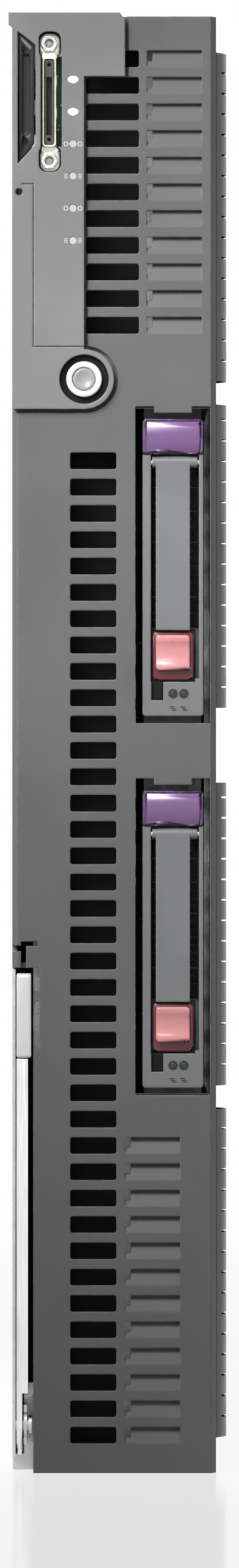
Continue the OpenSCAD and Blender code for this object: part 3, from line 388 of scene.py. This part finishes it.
def sheet_metal(name, colour, roughness, stretch=(1.0, 0.02, 1.0), spangled=True):
    """Rolled sheet steel, with zinc crystals where it is galvanised."""
    finish = Finish(name, colour, roughness, Metallic=1.0)
    rolled = finish.effect("rolled_metal", Stretch=stretch)
    marks = finish.effect("handling_marks")
    edges = finish.effect("rubbed_edges", Amount=0.5)
    finish.shade(rolled["Shade"])
    if spangled:
        crystals = finish.effect("zinc_spangle")
        finish.shade(crystals["Shade"])
        finish.vary_roughness(crystals["Gloss"])
    finish.tint(edges["Mask"], tuple(min(1.0, part * 1.25) for part in colour), "rubbed")
    scratched = reckon(finish.tree, "scratched", "MULTIPLY", marks["Scratch"], -0.12)
    finish.vary_roughness(rolled["Gloss"], scratched)
    finish.bump(rolled["Height"], 0.004 * MM)
    return finish.done()


def machined(name, colour, roughness, stretch=(1.0, 1.0, 0.02), scale=2500.0):
    """Drawn, turned or polished bright metal."""
    finish = Finish(name, colour, roughness, Metallic=1.0)
    rolled = finish.effect("rolled_metal", Stretch=stretch, Scale=scale)
    marks = finish.effect("handling_marks", Scale=90.0)
    finish.shade(rolled["Shade"])
    smudged = reckon(finish.tree, "smudged", "MULTIPLY", marks["Smudge"], 0.08)
    finish.vary_roughness(rolled["Gloss"], smudged)
    finish.bump(rolled["Height"], 0.002 * MM)
    return finish.done()


def printed_board(name, mask, copper):
    """Solder mask over tracks and vias on a glass laminate."""
    finish = Finish(name, mask, 0.36, Specular_IOR_Level=0.5)
    artwork = finish.effect("board_artwork")
    skin = finish.effect("moulded_skin", Grain_Scale=1800.0)
    finish.shade(skin["Shade"])
    faint = reckon(finish.tree, "faint tracks", "MULTIPLY", artwork["Tracks"], 0.5)
    finish.tint(faint, copper, "tracks")
    finish.tint(artwork["Vias"], (0.62, 0.58, 0.42), "vias")
    finish.vary_roughness(skin["Gloss"])
    finish.bump(artwork["Height"], 0.03 * MM)
    finish.bump(skin["Height"], 0.01 * MM)
    return finish.done()


def status_lights(name, colour, lit_above, strength):
    """Clear light pipes, of which those higher than lit_above glow."""
    finish = Finish(name, colour, 0.25)
    skin = finish.effect("moulded_skin", Grain_Scale=1500.0)
    finish.shade(skin["Shade"])
    finish.bump(skin["Height"], 0.01 * MM)
    height = add(finish.tree, "SeparateXYZ", "height")
    finish.tree.links.new(finish.place, height.inputs[0])
    lit = reckon(finish.tree, "lit", "GREATER_THAN", height.outputs["Z"], lit_above)
    glow = add(finish.tree, "Mix", "glow", data_type="RGBA")
    finish.tree.links.new(lit, glow.inputs["Factor"])
    glow.inputs["A"].default_value = (0, 0, 0, 1)
    glow.inputs["B"].default_value = (1.0, 0.99, 0.95, 1)
    feed(finish.tree, finish.surface, Emission_Color=glow.outputs["Result"], Emission_Strength=strength)
    return finish.done()


LIT_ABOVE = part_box("control_panel")[1].z - 27 * MM

DRIVE_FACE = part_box("drive_1_button")[0].y
PAD_SHADE_DEPTH = DRIVE_FACE + 1.5 * MM

FINISHES = {
    "bezel_plastic": moulding("bezel_moulding", (0.12, 0.12, 0.122), 0.42, Specular_IOR_Level=0.25),
    # The control panel's grey is set lighter than the bezel's: painted light, for the stronger light on the
    # panel.
    "panel_plastic": moulding("panel_moulding_painted_lighter", (0.195, 0.195, 0.198), 0.4, Specular_IOR_Level=0.35),
    "button_plastic": moulding("power_button_moulding", (0.3, 0.3, 0.3), 0.34),
    "ring_plastic": moulding("power_ring_moulding", (0.7, 0.7, 0.69), 0.3, rub=0.0, Coat_Weight=0.3),
    "tab_plastic": moulding(
        "label_tab_moulding", (0.02, 0.02, 0.021), 0.36, rub=0.12, Specular_IOR_Level=0.3
    ),
    "black_plastic": moulding(
        "black_moulding", (0.009, 0.009, 0.01), 0.5, rub=0.05, Specular_IOR_Level=0.12
    ),
    "carrier_plastic": moulding("carrier_moulding", (0.165, 0.167, 0.171), 0.36),
    "clip_plastic": moulding(
        "clip_moulding", (0.15, 0.062, 0.2), 0.2, 1400.0, 0.004, 0.3, Coat_Weight=1.0, Coat_Roughness=0.2
    ),
    "eject_plastic": moulding(
        "ejector_moulding",
        (0.62, 0.25, 0.26),
        0.3,
        1400.0,
        0.004,
        0.15,
        # painted shade: below its pad face the ejector turns dark red
        (PAD_SHADE_DEPTH, (0.12, 0.008, 0.016)),
        Coat_Weight=0.5,
        Coat_Roughness=0.15,
    ),
    "lever_cap": moulding(
        "lever_tip_moulding",
        (0.78, 0.78, 0.77),
        0.24,
        1400.0,
        0.003,
        0.0,
        Coat_Weight=0.6,
        Coat_Roughness=0.06,
    ),
    "latch_plastic": moulding("cover_latch_moulding", (0.03, 0.12, 0.42), 0.4, rub=0.2),
    "rear_plastic": moulding("signal_connector_moulding", (0.6, 0.58, 0.52), 0.45, rub=0.1),
    "socket_plastic": moulding("socket_moulding", (0.5, 0.44, 0.31), 0.5, rub=0.1),
    "connector_core": moulding("connector_insert_moulding", (0.05, 0.047, 0.04), 0.45, rub=0.1),
    "battery_wrap": moulding(
        "battery_shrink_wrap", (0.03, 0.05, 0.17), 0.2, 900.0, 0.02, 0.1, Coat_Weight=0.5
    ),
    "light_plastic": status_lights("light_pipe_plastic", (0.5, 0.51, 0.5), LIT_ABOVE, 1.6),
    "sheet_steel": sheet_metal("chassis_steel", (0.6, 0.61, 0.62), 0.36),
    "cover_steel": sheet_metal("cover_steel", (0.64, 0.65, 0.66), 0.33),
    # The drive cage's steel is set dark: painted shade in the gaps round the drive bays.
    "cage_steel": sheet_metal("cage_steel", (0.22, 0.225, 0.235), 0.42),
    "spring_strip": machined("spring_strip_steel", (0.075, 0.075, 0.078), 0.3, (1.0, 1.0, 0.02)),
    "lever_metal": machined("lever_bright_metal", (0.86, 0.86, 0.85), 0.16, (1.0, 1.0, 0.03)),
    "connector_metal": machined("connector_plating", (0.74, 0.71, 0.61), 0.34, (1.0, 1.0, 1.0), 1200.0),
    "screw_steel": machined("screw_plating", (0.68, 0.68, 0.67), 0.28, (1.0, 1.0, 1.0), 1800.0),
    "chip_lid": machined("processor_lid_plating", (0.7, 0.7, 0.68), 0.3, (1.0, 1.0, 1.0), 900.0),
    "heatsink_aluminium": machined("heatsink_aluminium", (0.76, 0.77, 0.78), 0.3, (1.0, 0.02, 1.0)),
    "disk_aluminium": machined("disk_casting", (0.5, 0.51, 0.52), 0.45, (1.0, 1.0, 1.0), 600.0),
    "circuit_board": printed_board("system_board_mask", (0.012, 0.085, 0.035), (0.05, 0.2, 0.09)),
    "module_board": printed_board("module_board_mask", (0.015, 0.11, 0.05), (0.06, 0.24, 0.11)),
}
DRIVE_LIGHT = moulding(
    "drive_light_plastic", (0.012, 0.018, 0.014), 0.25, 1500.0, 0.004, 0.0, Coat_Weight=0.4
)
PALE_PRINT = moulding("pale_printing_ink", (0.62, 0.62, 0.61), 0.5, 2400.0, 0.003, 0.0)
DARK_PRINT = moulding("dark_printing_ink", (0.02, 0.021, 0.022), 0.5, 2400.0, 0.003, 0.0)
GLOW_LENS = status_lights("lit_lens_plastic", (0.8, 0.8, 0.78), 0.0, 1.8)

slot_of_node = {name: piece.material_slots[0].material.name.split(".")[0] for name, piece in nodes.items()}

for name, piece in nodes.items():
    piece.material_slots[0].material = FINISHES[slot_of_node[name]]
for k in (1, 2):
    nodes[f"drive_{k}_lights"].material_slots[0].material = DRIVE_LIGHT


# ---- Pieces that replace the frame's own ----


def new_piece(name, mesh, body, slot, finish=None):
    """An object made from a finished bmesh, riding on a body and taking a slot's finish."""
    data = bpy.data.meshes.new(name)
    mesh.to_mesh(data)
    mesh.free()
    piece = bpy.data.objects.new(name, data)
    bpy.context.scene.collection.objects.link(piece)
    data.materials.append(finish or FINISHES[slot])
    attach(piece, body)
    return piece


def soften(node, radius, segments=2, angle=32):
    """Stands for a node: its solid with every edge rounded."""
    mesh = bmesh.new()
    mesh.from_mesh(nodes[node].data)
    bmesh.ops.remove_doubles(mesh, verts=mesh.verts, dist=0.002 * MM)
    for face in mesh.faces:
        face.smooth = True
    piece = new_piece(node + "_softened", mesh, bodies_of_nodes[node], slot_of_node[node])
    rounding = piece.modifiers.new("rounded edges", "BEVEL")
    rounding.width = radius * MM
    rounding.segments = segments
    rounding.limit_method = "ANGLE"
    rounding.angle_limit = radians(angle)
    rounding.use_clamp_overlap = False
    rounding.harden_normals = True
    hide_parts(node)
    return piece


soften("power_button", 0.2)
soften("power_ring", 0.35, 3)
soften("label_tab", 0.2)
soften("lever_arm", 0.3, 3)
soften("lever_tip", 0.45, 3)
soften("connector_shell", 0.12)
soften("jack_screws", 0.12)
soften("cover_latch", 0.2)
for k in (1, 2):
    soften(f"drive_{k}_clip", 0.4, 3)
    soften(f"drive_{k}_button", 0.35, 3)


# ---- Printed marks, lenses, and black pieces of painted shade, with their sizes in millimetres ----

INK = 0.03
ROOT = 0.02
PANEL_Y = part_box("control_panel")[0].y / MM


def box_mm(node):
    """A node's lowest and highest corner, in millimetres."""
    low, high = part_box(node)
    return low / MM, high / MM


def flat_ring(mesh, centre, outer, inner, depths, sides=40, stretch=1.0):
    """Adds a flat ring that stands in the XZ plane between two depths, or a disc where inner is 0."""
    front, back = depths
    turns = [2 * pi * i / sides for i in range(sides)]
    rims = []
    for y, radius in ((back, inner), (back, outer), (front, outer), (front, inner)):
        points = [
            (centre[0] + stretch * radius * cos(turn), y, centre[1] + radius * sin(turn)) for turn in turns
        ]
        rims.append([mesh.verts.new(Vector(point) * MM) for point in points])
    walls = list(zip(rims, rims[1:]))
    if inner:
        walls.append((rims[-1], rims[0]))
    for near, far in walls:
        for i in range(sides):
            j = (i + 1) % sides
            mesh.faces.new((near[i], near[j], far[j], far[i]))


def flat_bar(mesh, centre, width, height, depths):
    """Adds a flat bar that stands in the XZ plane between two depths."""
    front, back = depths
    size = Vector((width, back - front, height)) * MM
    place = Vector((centre[0], (front + back) / 2, centre[1])) * MM
    shape = Matrix.Translation(place) @ Matrix.Diagonal((*size, 1.0))
    bmesh.ops.create_cube(mesh, size=1.0, matrix=shape)


def closed(mesh):
    """The mesh welded, with its faces turned outwards."""
    bmesh.ops.remove_doubles(mesh, verts=mesh.verts, dist=0.001 * MM)
    bmesh.ops.recalc_face_normals(mesh, faces=mesh.faces)
    return mesh


def shade_power_well(gap=0.06, width=1.56, depth=1.9, thickness=0.48):
    """A black ring that fills the well round the power button's own ring: painted shade in the well."""
    low, high = box_mm("power_ring")
    inner = (high.x - low.x) / 2 + gap
    mesh = bmesh.new()
    centre = ((low.x + high.x) / 2, (low.z + high.z) / 2)
    front = PANEL_Y + depth
    flat_ring(mesh, centre, inner + width, inner, (front, front + thickness), 96)
    new_piece("power_well_shade", closed(mesh), "chassis", "black_plastic")


def mark_lights(count=6, lit=2):
    """Lit lenses over the upper lights, and a symbol on each side of the others."""
    low, high = box_mm("light_pipes")
    across = high.x - low.x
    x = (low.x + high.x) / 2
    top = high.z - across / 2
    step = (high.z - low.z - across) / (count - 1)
    lenses = bmesh.new()
    for i in range(lit):
        flat_ring(lenses, (x, top - i * step), 0.85, 0.0, (PANEL_Y - INK, PANEL_Y + 0.1), stretch=1.5)
    new_piece("lit_lenses", closed(lenses), "chassis", "light_plastic", GLOW_LENS)
    symbols = bmesh.new()
    ink = (PANEL_Y - INK, PANEL_Y + ROOT)
    for i in range(lit, count):
        z = top - i * step
        for side in (-1, 1):
            centre = (x + side * 1.75, z)
            if (i + side) % 2:
                flat_ring(symbols, centre, 0.62, 0.36, ink, 32)
                continue
            for row in (-1, 0, 1):
                flat_bar(symbols, (centre[0], z + 0.45 * row), 0.95, 0.2, ink)
    new_piece("panel_marks", closed(symbols), "chassis", "panel_plastic", PALE_PRINT)


def shade_lever_channel(low_z=22.0, high_z=141.0, width=4.9, margin=0.3, thickness=0.15):
    """A black sheet on the front plate, behind the lever's arm and its catch slots: painted shade where the
    slots look dark.
    """
    low, high = box_mm("bezel")
    back = high.y - INK
    centre = (low.x + margin + width / 2, (low_z + high_z) / 2)
    mesh = bmesh.new()
    flat_bar(mesh, centre, width, high_z - low_z, (back - thickness, back))
    new_piece("lever_channel_shade", closed(mesh), "chassis", "black_plastic")


def fit_shaded_drive_grille(k, slats=22, foot=22.2, head=9.2, depth=4.8, thickness=0.35):
    """Black slats in the window behind a drive's lever, on two uprights. They stand for the carrier's
    perforated screen; their black is painted shade.
    """
    low, high = box_mm(f"drive_{k}_carrier")
    bottom, top = low.z + foot, high.z - head
    pitch = (top - bottom) / slats
    middle = (low.x + high.x + 1.0) / 2
    front = low.y + depth
    mesh = bmesh.new()
    for i in range(slats):
        centre = (middle, bottom + (i + 0.5) * pitch)
        flat_bar(mesh, centre, high.x - low.x - 3.4, 0.86 * pitch, (front, front + thickness))
    for x in (low.x + 2.35, high.x - 1.35):
        flat_bar(mesh, (x, (bottom + top) / 2), 0.4, top - bottom, (front - 0.1, front + thickness))
    new_piece(f"drive_{k}_grille", closed(mesh), f"drive_{k}", "black_plastic")


def shade_drive_recess(k):
    """A black block at the bottom of the finger recess below a drive's button: painted shade in the recess.
    """
    low, high = box_mm(f"drive_{k}_carrier")
    mesh = bmesh.new()
    flat_bar(mesh, (low.x + 3.7, low.z + 6.35), 2.9, 4.6, (low.y + 1.2, low.y + 2.55))
    new_piece(f"drive_{k}_recess_shade", closed(mesh), f"drive_{k}", "black_plastic")


def print_drive_symbols(k, rim=0.36, gap=0.06, drop=3.3):
    """A dark ring round each of a drive's lights, and slanted dashes below it."""
    low, high = box_mm(f"drive_{k}_lights")
    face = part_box(f"drive_{k}_carrier")[0].y / MM
    radius = (high.z - low.z) / 2
    z = (low.z + high.z) / 2
    ink = (face - INK, face + ROOT)
    mesh = bmesh.new()
    for x in (low.x + radius, high.x - radius):
        flat_ring(mesh, (x, z), radius + gap + rim, radius + gap, ink)
        for row in (0, 1, 2):
            flat_bar(mesh, (x + 0.3 * row - 0.3, z - drop - 0.42 * row), 1.2, 0.26, ink)
    new_piece(f"drive_{k}_symbols", closed(mesh), f"drive_{k}", "carrier_plastic", DARK_PRINT)


shade_power_well()
mark_lights()
shade_lever_channel()
for k in (1, 2):
    fit_shaded_drive_grille(k)
    shade_drive_recess(k)
    print_drive_symbols(k)


# ---- Room, lamps and camera ----

FACE_Y = -0.2559
VIEW_HEIGHT = 0.3941
VIEW_DISTANCE = 2.6
VIEW_CENTRE = Vector((0.0004, FACE_Y, 0.1732))


def backdrop_shader(tree, surface, seen_colour, share):
    """Mixes a surface with plain pale light, in this share, for rays from the camera or a reflection."""
    rays = add(tree, "LightPath", "rays")
    seen = reckon(tree, "seen", "MAXIMUM", rays.outputs["Is Camera Ray"], rays.outputs["Is Glossy Ray"])
    seen = reckon(tree, "seen too", "MAXIMUM", seen, rays.outputs["Is Transmission Ray"])
    factor = reckon(tree, "share of it", "MULTIPLY", seen, share)
    kind = "Background" if isinstance(surface.node, bpy.types.ShaderNodeBackground) else "Emission"
    pale = add(tree, kind, "pale")
    feed(tree, pale, Color=seen_colour, Strength=1.0)
    mix = add(tree, "MixShader", "mix")
    tree.links.new(factor, mix.inputs[0])
    tree.links.new(surface, mix.inputs[1])
    tree.links.new(pale.outputs[0], mix.inputs[2])
    return mix.outputs[0]


def make_floor(half_size=30.0, below=0.0002):
    """A pale, slightly glossy floor that fades into the backdrop away from the object."""
    mesh = bmesh.new()
    bmesh.ops.create_grid(mesh, x_segments=8, y_segments=8, size=half_size)
    data = bpy.data.meshes.new("floor")
    mesh.to_mesh(data)
    mesh.free()
    floor = bpy.data.objects.new("floor", data)
    floor.location.z = -below
    bpy.context.scene.collection.objects.link(floor)
    finish = Finish("floor_paint", (0.72, 0.72, 0.72), 0.12)
    surface = finish.done().node_tree.nodes["Principled BSDF"].outputs[0]
    out = finish.tree.nodes["Material Output"]
    reach = add(finish.tree, "VectorMath", "reach", operation="LENGTH")
    finish.tree.links.new(finish.place, reach.inputs[0])
    share = rescale(finish.tree, "share", reach.outputs["Value"], 0.45, 1.6, 0.72, 1.0)
    shown = backdrop_shader(finish.tree, surface, (1.0, 1.0, 1.0, 1.0), share)
    finish.tree.links.new(shown, out.inputs[0])
    data.materials.append(finish.material)


def make_world():
    """Weak even light, seen as plain white by the camera and in reflections."""
    world = bpy.data.worlds.new("studio")
    bpy.context.scene.world = world
    world.use_nodes = True
    tree = world.node_tree
    ambient = tree.nodes["Background"]
    feed(tree, ambient, Color=(0.95, 0.97, 1.0, 1.0), Strength=0.13)
    shown = backdrop_shader(tree, ambient.outputs[0], (1.0, 1.0, 1.0, 1.0), 1.0)
    tree.links.new(shown, tree.nodes["World Output"].inputs[0])


def softbox(name, place, target, width, height, power, spread=180):
    """A rectangular lamp aimed at a target; a narrow spread keeps its light together."""
    lamp = bpy.data.lights.new(name, "AREA")
    lamp.spread = radians(spread)
    lamp.shape = "RECTANGLE"
    lamp.size = width
    lamp.size_y = height
    lamp.energy = power
    box = bpy.data.objects.new(name, lamp)
    box.location = place
    aim = Vector(target) - Vector(place)
    box.rotation_euler = aim.to_track_quat("-Z", "Y").to_euler()
    bpy.context.scene.collection.objects.link(box)


def make_camera():
    """A long lens that looks square at the front."""
    lens = bpy.data.cameras.new("front_camera")
    lens.sensor_width = 36.0
    lens.lens = 36.0 * VIEW_DISTANCE / VIEW_HEIGHT
    lens.clip_end = 40.0
    camera = bpy.data.objects.new("front_camera", lens)
    camera.location = VIEW_CENTRE - Vector((0, VIEW_DISTANCE, 0))
    camera.rotation_euler = (pi / 2, 0, 0)
    bpy.context.scene.collection.objects.link(camera)
    bpy.context.scene.camera = camera


bpy.context.scene.view_settings.view_transform = "Standard"
make_floor()
make_world()
softbox("key_box", (-0.2, -0.55, 0.49), (-0.02, -0.256, 0.255), 0.5, 0.22, 0.8, 54)
softbox("fill_box", (0.9, -1.7, 0.7), (0.0, -0.256, 0.3), 0.9, 0.9, 1.4)
softbox("back_box", (-0.6, 1.5, 1.2), (0.0, 0.2, 0.15), 0.9, 0.9, 7.0)
make_camera()
